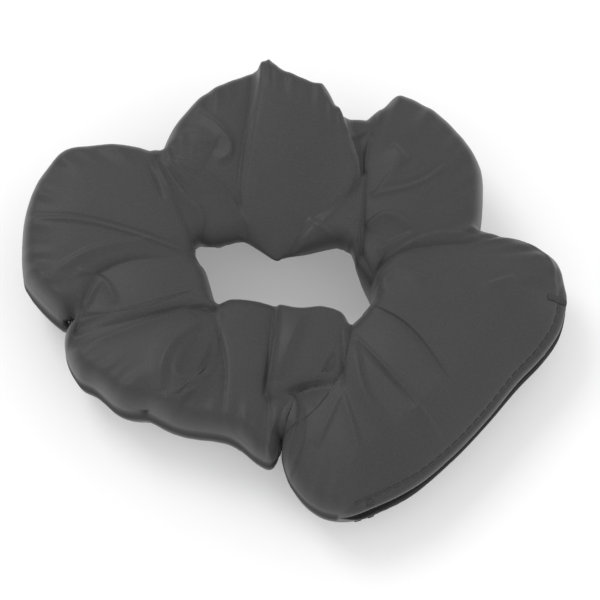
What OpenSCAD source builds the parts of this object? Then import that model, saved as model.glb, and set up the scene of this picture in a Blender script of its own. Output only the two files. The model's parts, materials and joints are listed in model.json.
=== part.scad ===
// Gathered fabric hair ring with a flat zip pocket in its largest puff.
// Millimetres. Origin: centre of the footprint on the table. +X runs to the
// pocket side, +Y to the back, +Z up.

/* [Nodes] */
// the node that is drawn

/* [Sleeve] */
// height of the elastic's mid plane above the table
mid_z = 15; // [12:0.5:18]
// thickness of the gathered cloth wall
wall = 1.1; // [0.6:0.1:1.6]
// height of the kite-shaped back puff above the mid plane
kite_h = 23; // [16:0.5:26]
// height of the other back puffs above the mid plane
back_h = 19; // [14:0.5:24]
// height of the left puff above the mid plane
left_h = 18; // [14:0.5:24]
// height of the front puffs above the mid plane
front_h = 16; // [12:0.5:22]
// height of the pocket puff above its lips
pocket_h = 12; // [8:0.5:16]
// half height of the pocket puff's blunt edge, lips included
lip_e = 3.9; // [3.6:0.1:5]

/* [Elastic] */
// half length of the relaxed elastic loop
loop_a = 29; // [26:0.5:32]
// half depth of the relaxed elastic loop
loop_b = 17; // [15:0.5:19]
// width of the elastic, standing on edge
band_w = 6; // [4:0.5:6]
// thickness of the elastic
band_t = 0.8; // [0.6:0.1:1.2]
// length over which the elastic's ends overlap
band_lap = 10; // [6:1:14]

/* [Zip] */
// length of the zip tapes
tape_l = 62; // [58:1:62]
// width of each tape's sewn leg
tape_w = 9; // [7:0.5:10]
// thickness of the tape
tape_t = 0.35; // [0.25:0.05:0.4]
// pitch of the coil
coil_pitch = 1.2; // [1.1:0.05:1.4]
// wire width of the coil
coil_wire = 0.4; // [0.3:0.05:0.45]
// length of the slider
slider_l = 6.4; // [5:0.2:7]
// length of the pull
pull_l = 11; // [9:0.5:16]
// width of the pull
pull_w = 3.6; // [3:0.2:4]

/* [Stitches] */
// pitch of the top stitching
stitch_pitch = 2.6; // [2:0.1:4]
// radius of the sewing thread
thread_r = 0.22; // [0.15:0.01:0.3]
// where the top stitching runs, as a share of the way to the pocket's edge
stitch_f = 0.93; // [0.9:0.01:0.96]

/* [Hidden] */

cloth_col = [0.07, 0.07, 0.07];
tape_col = [0.05, 0.05, 0.055];
coil_col = [0.06, 0.06, 0.065];
metal_col = [0.25, 0.25, 0.26];
thread_col = [0.09, 0.09, 0.09];
elastic_col = [0.05, 0.05, 0.05];
lining_col = [0.12, 0.12, 0.13];

// footprint centring
shift = [-0.4, 1.23, 0];

// centre of the elastic loop
loop_c = [-2.5, 4];

// the zip: middle of the chain, and the way it runs
zip_c = [43.3, -31.4];
zip_deg = 46.3;
coil_x0 = -28.8;
slider_x = 24.5;
post_x0 = slider_x + 0.7;
post_x1 = slider_x + 2.1;
slot_half = 31;
slot_h = lip_e - wall;

// plan outlines of the puffs, each from the ring's inner rim round to the edge
pocket_pts = [
  [21, 1], [30, 8], [46, 13.4], [59.5, 12.2], [64, 8.9], [67, 3.5],
  [67.5, -6], [65.5, -11.9], [61.2, -18.7], [54, -27], [46.9, -34.9],
  [38.7, -44.4], [28.6, -52.8], [17.8, -58.8], [11, -61.2], [6, -60.2],
  [1, -55], [-1, -48], [0.6, -40], [6.6, -26], [14.4, -13.5], [18.4, -8]
];
back_right_pts = [
  [19, 33], [15, 42], [16, 45], [19.5, 46.5], [25.6, 51.2], [30, 51.6],
  [36.9, 46], [44.4, 33.3], [45.6, 23], [45, 15.6], [30, 10.2], [22, 4.6],
  [16.6, 7.5], [14.6, 13], [18, 24]
];
kite_pts = [
  [-7.2, 56.6], [-5, 59.6], [0, 58.4], [7.3, 54.4], [11, 46], [14.6, 36],
  [16.2, 30], [11, 19.6], [1.6, 11.4], [-4, 9.5], [-8.6, 14.2], [-12, 24.4],
  [-9.8, 42]
];
back_left_pts = [
  [-32.4, 39], [-30, 43], [-24.8, 49.4], [-16, 55], [-10.4, 56], [-9.2, 53],
  [-11.6, 40], [-13.6, 25], [-11.4, 15.4], [-16, 13], [-22.6, 13.4],
  [-24.6, 17], [-28.6, 29]
];
left_pts = [
  [-34.4, 35.4], [-38.4, 37], [-46, 38.6], [-57.2, 37.4], [-60.4, 34],
  [-65.5, 25], [-67.2, 14], [-67.2, 3], [-64.4, -3], [-58, -9.4],
  [-52, -11.2], [-38, -7.4], [-25, -3.2], [-22, 2], [-24.4, 9.6],
  [-27, 15], [-31, 27]
];
front_left_pts = [
  [-21.4, -4.6], [-22.4, -8.6], [-29, -21.6], [-36.4, -33.2], [-42.2, -34],
  [-48.4, -28.8], [-53.7, -24], [-56.4, -18], [-54, -14.2], [-40, -9.6],
  [-28, -6]
];
front_mid_pts = [
  [-18.6, -4.4], [-14, -2.6], [-3.5, -4.4], [3, -3.6], [10.6, -5.6],
  [13.4, -9.2], [4.8, -26], [-1.6, -40], [-4.6, -45.8], [-8.3, -45.4],
  [-15.3, -40.8], [-24, -38.8], [-33.6, -35], [-26.4, -21.4]
];

// closed smooth curve through the points, k steps from each to the next
function cr(a, b, c, d, t) =
  0.5 * (2 * b + (c - a) * t + (2 * a - 5 * b + 4 * c - d) * t * t
  + (3 * b - a - 3 * c + d) * t * t * t);
function smooth_as_is(P, k) = [
  for (i = [0 : len(P) - 1], j = [0 : k - 1])
    cr(P[(i + len(P) - 1) % len(P)], P[i], P[(i + 1) % len(P)],
      P[(i + 2) % len(P)], j / k)
];
function turned(P) = [for (i = [len(P) - 1 : -1 : 0]) P[i]];
function twice_area(P) = [for (p = P) 1] * [
  for (i = [0 : len(P) - 1]) cross(P[i], P[(i + 1) % len(P)])
];
// always counterclockwise from above
function smooth(P, k) = smooth_as_is(twice_area(P) < 0 ? turned(P) : P, k);
function mid_of(P) = [
  for (a = [0, 1]) (min([for (p = P) p[a]]) + max([for (p = P) p[a]])) / 2
];
function ring(P, c, f, z) = [
  for (p = P) [c[0] + f * (p[0] - c[0]), c[1] + f * (p[1] - c[1]), max(0, z)]
];
// the same outline a little inside itself
function shrunk(P, c, t) = [
  for (p = P) c + (p - c) * (1 - t / norm(p - c))
];

// closed pillow on an outline: rows of [share of the outline, height]
module pillow(P, c, rows) {
  n = len(P);
  m = len(rows);
  body = [for (r = rows) each ring(P, c, r[0], r[1])];
  low = len(body);
  first_z = max(0, rows[0][1]);
  last_z = rows[m - 1][1];
  points = concat(body, [[c[0], c[1], first_z], [c[0], c[1], last_z]]);
  sides = [
    for (r = [0 : m - 2], i = [0 : n - 1])
      each [
        [r * n + i, (r + 1) * n + i, r * n + (i + 1) % n],
        [r * n + (i + 1) % n, (r + 1) * n + i, (r + 1) * n + (i + 1) % n]
      ]
  ];
  bottom = [for (i = [0 : n - 1]) [low, i, (i + 1) % n]];
  top = [for (i = [0 : n - 1]) [low + 1, (m - 1) * n + (i + 1) % n, (m - 1) * n + i]];
  polyhedron(points, concat(sides, bottom, top), convexity = 4);
}

// heights of a round puff: rounded rim, full top, flat underside
steps = [0.35, 0.66, 0.86, 0.96];
function full(f) = pow(1 - pow(f, 3), 1 / 3);
function puff_rows(zc, ht, hb) = concat(
  [for (f = steps) [f, zc - hb * full(f)]],
  [[1, zc]],
  [for (i = [3 : -1 : 0]) [steps[i], zc + ht * full(steps[i])]]
);
// heights of the pocket puff: lens with a blunt edge
function lens(f) = 1 - pow(f, 2.4);
function pocket_rows(zc, e, ht, hb, out) = concat(
  [for (f = steps) [f, zc - e - hb * lens(f)]],
  [[1 + out, zc - e], [1, zc + e]],
  [for (i = [3 : -1 : 0]) [steps[i], zc + e + ht * lens(steps[i])]]
);

// the inner solid stops a wall's thickness short of the outer one
module puff_shell(pts, ht) {
  P = smooth(pts, 2);
  c = mid_of(P);
  Q = shrunk(P, c, wall);
  // set to its full height from the table
  resize([0, 0, mid_z + ht]) difference() {
    pillow(P, c, puff_rows(mid_z, ht, mid_z + 1.2));
    pillow(Q, c, [
      for (r = puff_rows(mid_z, ht - wall, mid_z + 1.2 - wall)) [r[0], max(wall, r[1])]
    ]);
    tunnel();
  }
}

// oval of the elastic loop, moved outwards by d
function oval(d, z0 = 0) = [
  for (i = [0 : 71]) loop_c + [(loop_a + d) * cos(5 * i), (loop_b + d) * sin(5 * i)]
];
module oval_ring(d0, d1, h) {
  linear_extrude(h) {
    difference() {
      polygon(oval(d1));
      polygon(oval(d0));
    }
  }
}
// way through the end walls for the elastic and the seam
module tunnel() {
  translate([0, 0, mid_z - 4.8]) {
    oval_ring(-2, 2.6, 8.8);
  }
}

module in_zip() {
  translate([zip_c[0], zip_c[1], mid_z]) {
    rotate([0, 0, zip_deg]) {
      children();
    }
  }
}

module puff_pocket() {
  P = smooth(pocket_pts, 2);
  c = [35, -22];
  Q = shrunk(P, c, wall);
  rows_out = pocket_rows(mid_z, lip_e, pocket_h, pocket_h + 1.4, 0.022);
  rows_in = pocket_rows(mid_z, lip_e - wall, pocket_h, pocket_h + 1.4, 0.022);
  color(cloth_col) resize([0, 0, mid_z + lip_e + pocket_h]) difference() {
    pillow(P, c, rows_out);
    pillow(Q, c, [for (r = rows_in) [r[0], max(wall, r[1])]]);
    tunnel();
    in_zip() {
      translate([-slot_half, -14, -slot_h]) {
        cube([2 * slot_half, 16, 2 * slot_h]);
      }
    }
  }
}
module puff_back_right() {
  color(cloth_col) puff_shell(back_right_pts, back_h);
}
module puff_back_kite() {
  color(cloth_col) puff_shell(kite_pts, kite_h);
}
module puff_back_left() {
  color(cloth_col) puff_shell(back_left_pts, back_h);
}
module puff_left() {
  color(cloth_col) puff_shell(left_pts, left_h);
}
module puff_front_left() {
  color(cloth_col) puff_shell(front_left_pts, front_h);
}
module puff_front_mid() {
  color(cloth_col) puff_shell(front_mid_pts, front_h);
}

// braided loop, its two ends lapped at the pocket side
module elastic_band() {
  lap = band_lap / (2 * loop_b) * 180 / PI;
  color(elastic_col) translate([0, 0, mid_z - band_w / 2]) {
    linear_extrude(band_w) {
      difference() {
        polygon([
          for (i = [0 : 143])
            let (
              a = 2.5 * i,
              away = min(a, 360 - a),
              d = band_t / 2 + (away < lap ? band_t : 0)
            )
            loop_c + [(loop_a + d) * cos(a), (loop_b + d) * sin(a)]
        ]);
        polygon([
          for (i = [0 : 143])
            let (a = 2.5 * i, d = -band_t / 2)
            loop_c + [(loop_a + d) * cos(a), (loop_b + d) * sin(a)]
        ]);
      }
    }
  }
}
// two short rows of stitches through the lapped ends
module elastic_join_stitch() {
  color(thread_col) {
    for (y = [-3, -1, 1, 3]) {
      for (z = [-1.8, 0, 1.8]) {
        translate([
          loop_c[0] + loop_a * cos(asin(y / loop_b)) - band_t / 2 - 0.15,
          loop_c[1] + y, mid_z + z
        ]) {
          rotate([0, 90, 0]) {
            cylinder(h = 2 * band_t + 0.3, r = thread_r, $fn = 12);
          }
        }
      }
    }
  }
}
// the long seam that makes the strip into a tube, next to the elastic
module sleeve_seam_thread() {
  color(thread_col) translate([0, 0, mid_z - 4.1]) {
    oval_ring(-thread_r, thread_r, 2 * thread_r);
  }
}
// slip stitches that close the joined ends of the tube
module sleeve_closing_stitch() {
  a = [0.6, -40];
  b = [6.6, -26];
  c = [35, -22];
  color(thread_col) {
    for (i = [0 : 4]) {
      translate([a[0] + (b[0] - a[0]) * (0.1 + 0.19 * i) + 0.35, a[1] + (b[1] - a[1]) * (0.1 + 0.19 * i), mid_z - 1.2]) {
        rotate([0, 0, 0]) {
          cylinder(h = 2.4, r = thread_r, $fn = 12);
        }
      }
    }
  }
}
// flat bag sewn to the tapes, its mouth at the zip
module pocket_lining() {
  color(lining_col) in_zip() {
    difference() {
      translate([0, 0, -2.3]) {
        linear_extrude(4.6) {
          polygon([[-29, 7], [29, 7], [29, 18], [22, 26], [4, 28.5], [-20, 25], [-29, 18]]);
        }
      }
      translate([0, 0, -1.8]) {
        linear_extrude(3.6) {
          polygon([[-28.4, 6], [28.4, 6], [28.4, 17.8], [21.7, 25.4], [4, 27.8], [-19.8, 24.4], [-28.4, 17.8]]);
        }
      }
    }
  }
}

// woven tape: web behind the coil, leg sewn under the lip
module tape(up) {
  y0 = 0.75;
  difference() {
    translate([-tape_l / 2, 0, 0]) {
      rotate([90, 0, 90]) {
        linear_extrude(tape_l) {
          polygon([
            [y0, up * 0.45], [y0 + tape_t, up * 0.45],
            [y0 + tape_t, up * (slot_h - 0.05 - tape_t)],
            [y0 + tape_w, up * (slot_h - 0.05 - tape_t)],
            [y0 + tape_w, up * (slot_h - 0.05)], [y0, up * (slot_h - 0.05)]
          ]);
        }
      }
    }
    // the webs part round the slider's post
    translate([post_x0 - 0.6, 0, -1]) {
      cube([20, 3, 2]);
    }
  }
}
module zip_tape_upper() {
  color(tape_col) in_zip() tape(1);
}
module zip_tape_lower() {
  color(tape_col) in_zip() tape(-1);
}
// one turn of the coil, a flat loop across the chain
module turn(up) {
  rotate([90, 0, 90]) {
    linear_extrude(coil_wire, center = true) {
      difference() {
        union() {
          translate([-0.7, up > 0 ? 0 : -1.15]) {
            square([1.4, 1.15]);
          }
          translate([-0.7, up > 0 ? -0.45 : -0.2]) {
            square([1.4, 0.65]);
          }
          translate([0, up * 1.0]) {
            circle(r = 0.7, $fn = 24);
          }
        }
        translate([-0.35, up > 0 ? 0.1 : -1.0]) {
          square([0.7, 0.9]);
        }
      }
    }
  }
}
module coil(up) {
  n = floor((post_x0 - 0.5 - coil_x0) / coil_pitch);
  x0 = coil_x0 + (up > 0 ? 0 : coil_pitch / 2);
  for (i = [0 : n - 1]) {
    translate([x0 + i * coil_pitch, 0, 0]) {
      turn(up);
    }
  }
  translate([x0 - coil_wire / 2, 0.62, up * 1.1]) {
    rotate([0, 90, 0]) {
      cylinder(h = (n - 1) * coil_pitch + coil_wire, r = 0.2, $fn = 12);
    }
  }
}
module zip_coil_upper() {
  color(coil_col) in_zip() coil(1);
}
module zip_coil_lower() {
  color(coil_col) in_zip() coil(-1);
}
module top_stop(up) {
  translate([slider_x + slider_l / 2 + 0.4, -0.6, up > 0 ? 1.2 : -2.2]) {
    cube([1.3, 2, 1]);
  }
}
module zip_top_stop_upper() {
  color(metal_col) in_zip() top_stop(1);
}
module zip_top_stop_lower() {
  color(metal_col) in_zip() top_stop(-1);
}
module zip_bottom_stop() {
  color(metal_col) in_zip() {
    translate([coil_x0 - 1.9, -0.8, -1.9]) {
      cube([1.4, 2.2, 3.8]);
    }
  }
}

// slider: front and back plates, side flanges, post and a bridge for the pull
module zip_slider() {
  h = slider_l / 2;
  color(metal_col) in_zip() translate([slider_x, 0, 0]) {
    // front plate
    rotate([90, 0, 0]) {
      translate([0, 0, 1]) {
        linear_extrude(0.9) {
          polygon([[-h, -1.9], [h - 1.4, -2.3], [h, -1.5], [h, 1.5], [h - 1.4, 2.3], [-h, 1.9]]);
        }
      }
    }
    // back plate
    rotate([90, 0, 0]) {
      translate([0, 0, -2.3]) {
        linear_extrude(0.85) {
          polygon([[-h, -1.7], [h - 1.4, -2], [h, -1.3], [h, 1.3], [h - 1.4, 2], [-h, 1.7]]);
        }
      }
    }
    // flanges
    for (s = [-1, 1]) {
      translate([-h, -1.9, s > 0 ? 1.9 : -2.25]) {
        cube([slider_l - 1.6, 2.25, 0.35]);
      }
    }
    // post between the plates
    translate([0.7, -1.2, -0.4]) {
      cube([1.4, 2.9, 0.8]);
    }
    // bridge
    translate([0, 0, -0.6]) {
      linear_extrude(1.2) {
        difference() {
          union() {
            translate([0, -2.6]) {
              circle(r = 1.05, $fn = 32);
            }
            translate([-1.05, -2.6]) {
              square([2.1, 1]);
            }
          }
          translate([0, -2.6]) {
            circle(r = 0.6, $fn = 32);
          }
        }
      }
    }
  }
}
// pull: flat tab, window round the bridge, cross pin through its eye
module zip_pull() {
  color(metal_col) in_zip() translate([slider_x, -2.6, 0]) {
    difference() {
      rotate([90, 0, 0]) {
        linear_extrude(0.8, center = true) {
          union() {
            translate([-pull_l + pull_w / 2, -pull_w / 2]) {
              square([pull_l - pull_w / 2 + 0.2, pull_w]);
            }
            translate([-pull_l + pull_w / 2, 0]) {
              circle(r = pull_w / 2, $fn = 48);
            }
          }
        }
      }
      translate([-2.6, -1, -0.95]) {
        cube([4, 2, 1.9]);
      }
      translate([-pull_l + pull_w / 2, 1, 0]) {
        rotate([90, 0, 0]) {
          cylinder(h = 2, r = 0.7, $fn = 32);
        }
      }
    }
    translate([0, 0, -1.2]) {
      cylinder(h = 2.4, r = 0.34, $fn = 24);
    }
  }
}

// stitches laid along the pocket's edge, from one outline point to another
function edge_at(s, f) =
  let (
    P = [for (i = [6 : 14]) pocket_pts[i]],
    i = min(floor(s), len(P) - 2),
    t = s - i,
    a = P[max(i - 1, 0)],
    b = P[i],
    c = P[i + 1],
    d = P[min(i + 2, len(P) - 1)],
    p = cr(a, b, c, d, t),
    m = [35, -22]
  )
  m + f * (p - m);
module stitch_row(f, z) {
  // even steps along the edge
  grid = [for (i = [0 : 400]) edge_at(0.4 + 7 * i / 400, f)];
  run = [for (i = 0, d = 0; i <= 400; d = d + (i < 400 ? norm(grid[i + 1] - grid[i]) : 0), i = i + 1) d];
  count = floor(run[400] / stitch_pitch);
  for (k = [0 : count - 1]) {
    i0 = max([for (i = [0 : 400]) if (run[i] <= k * stitch_pitch) i]);
    i1 = max([for (i = [0 : 400]) if (run[i] <= k * stitch_pitch + 0.78 * stitch_pitch) i]);
    p = grid[i0];
    q = grid[i1];
    translate([p[0], p[1], z]) {
      rotate([0, 90, atan2(q[1] - p[1], q[0] - p[0])]) {
        cylinder(h = norm(q - p), r = thread_r, $fn = 12);
      }
    }
  }
}
module topstitch_upper() {
  color(thread_col) stitch_row(stitch_f, mid_z + lip_e + pocket_h * lens(stitch_f) - 0.1);
}
module topstitch_lower() {
  color(thread_col) stitch_row(stitch_f, mid_z - lip_e - (pocket_h + 1.4) * lens(stitch_f) + 0.1);
}
// short dense bar of thread across the lips at each end of the zip
module bar_tack(x) {
  in_zip() {
    for (s = [-1, 1]) {
      for (i = [0 : 5]) {
        translate([x + 0.42 * i, -1.2, s * (lip_e + 0.25)]) {
          rotate([s > 0 ? -78 : -102, 0, 0]) {
            cylinder(h = 4.4, r = thread_r, $fn = 12);
          }
        }
      }
    }
  }
}
module bar_tack_closed_end() {
  color(thread_col) bar_tack(32.4);
}
module bar_tack_open_end() {
  color(thread_col) bar_tack(-34.5);
}

module placed() {
  translate(shift) {
    children();
  }
}
placed() puff_pocket();
placed() puff_back_right();
placed() puff_back_kite();
placed() puff_back_left();
placed() puff_left();
placed() puff_front_left();
placed() puff_front_mid();
placed() elastic_band();
placed() elastic_join_stitch();
placed() sleeve_seam_thread();
placed() sleeve_closing_stitch();
placed() pocket_lining();
placed() zip_tape_upper();
placed() zip_tape_lower();
placed() zip_coil_upper();
placed() zip_coil_lower();
placed() zip_top_stop_upper();
placed() zip_top_stop_lower();
placed() zip_bottom_stop();
placed() zip_slider();
placed() zip_pull();
placed() topstitch_upper();
placed() topstitch_lower();
placed() bar_tack_closed_end();
placed() bar_tack_open_end();
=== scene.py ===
import bpy
import json
import math
import numpy as np
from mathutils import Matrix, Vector


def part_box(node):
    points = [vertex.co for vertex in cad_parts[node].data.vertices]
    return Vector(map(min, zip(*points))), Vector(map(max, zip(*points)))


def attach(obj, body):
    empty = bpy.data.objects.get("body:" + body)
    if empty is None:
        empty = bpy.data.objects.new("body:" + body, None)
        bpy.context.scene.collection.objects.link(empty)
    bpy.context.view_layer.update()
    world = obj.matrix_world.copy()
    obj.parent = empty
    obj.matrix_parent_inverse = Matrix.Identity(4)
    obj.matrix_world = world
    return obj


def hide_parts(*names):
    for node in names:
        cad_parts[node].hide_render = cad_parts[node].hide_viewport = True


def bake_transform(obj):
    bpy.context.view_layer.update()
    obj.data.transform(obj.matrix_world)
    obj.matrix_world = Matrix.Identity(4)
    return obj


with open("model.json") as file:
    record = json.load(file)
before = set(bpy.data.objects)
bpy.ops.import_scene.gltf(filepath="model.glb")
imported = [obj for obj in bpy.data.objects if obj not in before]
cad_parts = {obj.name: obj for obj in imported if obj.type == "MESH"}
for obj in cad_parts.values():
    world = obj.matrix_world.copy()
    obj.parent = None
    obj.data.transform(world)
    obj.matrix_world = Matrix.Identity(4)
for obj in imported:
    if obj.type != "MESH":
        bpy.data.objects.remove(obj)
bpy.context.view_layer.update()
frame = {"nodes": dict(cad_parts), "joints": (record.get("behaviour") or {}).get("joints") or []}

# shapes are worked out in millimetres, and turned into metres when their mesh is made
MM = 0.001
EL = math.radians(68)           # how steeply the camera looks down
S, C = math.sin(EL), math.cos(EL)
VIEW_Z = 19.0                   # height above the table of the view plane's origin, mm
lo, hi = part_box("elastic_band")
MID = round((lo[2] + hi[2]) / 2 / MM, 2)    # height of the elastic's mid plane, mm
SHIFT = np.array([-0.4, 1.23])  # the CAD footprint's centring, mm
AIM = (1.9, -2.75)              # where the camera aims, in the view plane, mm
AWAY = 0.625                    # how far off the camera is, metres


def plan(x, w, z):
    """A point seen x across and w up in the view plane, z above the table, as plan x, y."""
    return np.array([x, (w - (z - VIEW_Z) * C) / S])


# ---------------------------------------------------------------- camera
def make_camera():
    cam = bpy.data.cameras.new("camera")
    obj = bpy.data.objects.new("camera", cam)
    bpy.context.scene.collection.objects.link(obj)
    cam.lens = 150
    cam.sensor_width = 36
    cam.clip_start = 0.01
    tx, ty = plan(*AIM, VIEW_Z) + SHIFT
    target = Vector((tx * MM, ty * MM, VIEW_Z * MM))
    away = Vector((0, -math.cos(EL), math.sin(EL)))
    obj.location = target + away * AWAY
    obj.rotation_euler = (-away).to_track_quat("-Z", "Y").to_euler()
    bpy.context.scene.camera = obj


make_camera()


# ------------------------------------------------------------- materials
def node_material(name):
    m = bpy.data.materials.new(name)
    m.use_nodes = True
    t = m.node_tree
    return m, t, t.nodes["Principled BSDF"]


def tex_noise(t, coord, scale, detail=2.0, rough=0.5, stretch=None):
    n = t.nodes.new("ShaderNodeTexNoise")
    n.inputs["Scale"].default_value = scale
    n.inputs["Detail"].default_value = detail
    n.inputs["Roughness"].default_value = rough
    if stretch:
        mp = t.nodes.new("ShaderNodeMapping")
        mp.inputs["Scale"].default_value = stretch
        t.links.new(coord, mp.inputs["Vector"])
        coord = mp.outputs["Vector"]
    t.links.new(coord, n.inputs["Vector"])
    return n


def ramp(t, value, stops):
    r = t.nodes.new("ShaderNodeValToRGB")
    while len(r.color_ramp.elements) < len(stops):
        r.color_ramp.elements.new(0.5)
    for e, (pos, col) in zip(r.color_ramp.elements, stops):
        e.position = pos
        e.color = (*col, 1)
    t.links.new(value, r.inputs["Fac"])
    return r


def cloth_material():
    """Thin warp-knit cloth: soft satin gloss, faint ribs, fine grain, slight shade variation."""
    m, t, b = node_material("sleeve_cloth")
    co = t.nodes.new("ShaderNodeTexCoord")
    uv = co.outputs["UV"]
    ob = co.outputs["Object"]
    big = tex_noise(t, ob, 45, 2, 0.5)
    fine = tex_noise(t, ob, 2600, 2, 0.6)
    col = ramp(t, big.outputs["Fac"], [(0.3, (0.0415, 0.0415, 0.0417)), (0.7, (0.0455, 0.0455, 0.0457))])
    grain = ramp(t, fine.outputs["Fac"], [(0.3, (0.86, 0.86, 0.86)), (0.7, (1.12, 1.12, 1.12))])
    mix = t.nodes.new("ShaderNodeMix")
    mix.data_type = "RGBA"
    mix.blend_type = "MULTIPLY"
    mix.inputs["Factor"].default_value = 1.0
    t.links.new(col.outputs["Color"], mix.inputs["A"])
    t.links.new(grain.outputs["Color"], mix.inputs["B"])
    t.links.new(mix.outputs["Result"], b.inputs["Base Color"])
    rr = ramp(t, big.outputs["Fac"], [(0.3, (0.4, 0.4, 0.4)), (0.7, (0.48, 0.48, 0.48))])
    t.links.new(rr.outputs["Color"], b.inputs["Roughness"])
    # ribs of the knit, along the tube
    wave = t.nodes.new("ShaderNodeTexWave")
    wave.wave_type = "BANDS"
    wave.bands_direction = "X"
    wave.inputs["Scale"].default_value = 420
    wave.inputs["Distortion"].default_value = 0.6
    wave.inputs["Detail"].default_value = 1.0
    t.links.new(uv, wave.inputs["Vector"])
    add = t.nodes.new("ShaderNodeMath")
    add.operation = "MULTIPLY_ADD"
    add.inputs[1].default_value = 0.35
    t.links.new(wave.outputs["Fac"], add.inputs[0])
    t.links.new(fine.outputs["Fac"], add.inputs[2])
    bump = t.nodes.new("ShaderNodeBump")
    bump.inputs["Strength"].default_value = 0.22
    bump.inputs["Distance"].default_value = 0.00008
    t.links.new(add.outputs["Value"], bump.inputs["Height"])
    t.links.new(bump.outputs["Normal"], b.inputs["Normal"])
    b.inputs["Sheen Weight"].default_value = 0.18
    b.inputs["Sheen Roughness"].default_value = 0.5
    b.inputs["Sheen Tint"].default_value = (0.8, 0.8, 0.82, 1)
    b.inputs["Specular IOR Level"].default_value = 0.16
    return m


def plain_material(name, dark, light, rough, metal=0.0, scale=900, bump=0.1, dist=0.00005, sheen=0.0,
                   stretch=None):
    """A material of one shade, varied from dark to light by a noise that also makes its grain."""
    m, t, b = node_material(name)
    ob = t.nodes.new("ShaderNodeTexCoord").outputs["Object"]
    n = tex_noise(t, ob, scale, 3, 0.6, stretch)
    c = ramp(t, n.outputs["Fac"], [(0.3, dark), (0.7, light)])
    t.links.new(c.outputs["Color"], b.inputs["Base Color"])
    b.inputs["Roughness"].default_value = rough
    b.inputs["Metallic"].default_value = metal
    if sheen:
        b.inputs["Sheen Weight"].default_value = sheen
    bp = t.nodes.new("ShaderNodeBump")
    bp.inputs["Strength"].default_value = bump
    bp.inputs["Distance"].default_value = dist
    t.links.new(n.outputs["Fac"], bp.inputs["Height"])
    t.links.new(bp.outputs["Normal"], b.inputs["Normal"])
    return m


CLOTH = cloth_material()


# ------------------------------------------------------------ mesh helpers
def mesh_object(name, verts, faces, mat, uvs=None, smooth=True):
    me = bpy.data.meshes.new(name)
    me.from_pydata([tuple(v) for v in verts], [], [tuple(f) for f in faces])
    me.materials.append(mat)
    if uvs is not None:
        layer = me.uv_layers.new(name="cloth")
        loops = np.empty(len(me.loops), dtype=np.int64)
        me.loops.foreach_get("vertex_index", loops)
        layer.data.foreach_set("uv", np.asarray(uvs, dtype=np.float32)[loops].ravel())
    if smooth:
        me.polygons.foreach_set("use_smooth", [True] * len(me.polygons))
    me.update()
    o = bpy.data.objects.new(name, me)
    bpy.context.scene.collection.objects.link(o)
    return o


def grid_faces(rows, cols, wrap_rows, wrap_cols):
    r = np.arange(rows if wrap_rows else rows - 1)
    c = np.arange(cols if wrap_cols else cols - 1)
    rr, cc = np.meshgrid(r, c, indexing="ij")
    r2, c2 = (rr + 1) % rows, (cc + 1) % cols
    return np.stack([rr * cols + cc, rr * cols + c2, r2 * cols + c2, r2 * cols + cc], -1).reshape(-1, 4)


def smoothstep(t):
    """0 below 0, 1 above 1 and a smooth rise between."""
    t = np.clip(t, 0, 1)
    return t * t * (3 - 2 * t)


def polyline_distance(P, Q, closed=False):
    """Distance from each of P to polyline Q, share of the way along it, and side (left is positive)."""
    A = Q if closed else Q[:-1]
    B = np.roll(Q, -1, 0) if closed else Q[1:]
    L = np.linalg.norm(B - A, axis=1)
    run = np.concatenate([[0], np.cumsum(L)])
    best = np.full(len(P), 1e9)
    along = np.zeros(len(P))
    side = np.ones(len(P))
    for a, b, l, r in zip(A, B, L, run):
        d = b - a
        t = np.clip(((P - a) @ d) / max(l * l, 1e-12), 0, 1)
        v = P - (a + t[:, None] * d)
        dist = np.hypot(v[:, 0], v[:, 1])
        near = dist < best
        best = np.where(near, dist, best)
        along = np.where(near, (r + t * l) / run[-1], along)
        cross = d[0] * (P[:, 1] - a[1]) - d[1] * (P[:, 0] - a[0])
        side = np.where(near, np.sign(cross), side)
    return best, along, side


def inside_polygon(P, Q):
    x, y = P[:, 0], P[:, 1]
    odd = np.zeros(len(P), bool)
    for a, b in zip(Q, np.roll(Q, -1, 0)):
        if a[1] == b[1]:
            continue
        hit = (a[1] > y) != (b[1] > y)
        odd ^= hit & (x < (b[0] - a[0]) * (y - a[1]) / (b[1] - a[1]) + a[0])
    return odd


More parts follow.
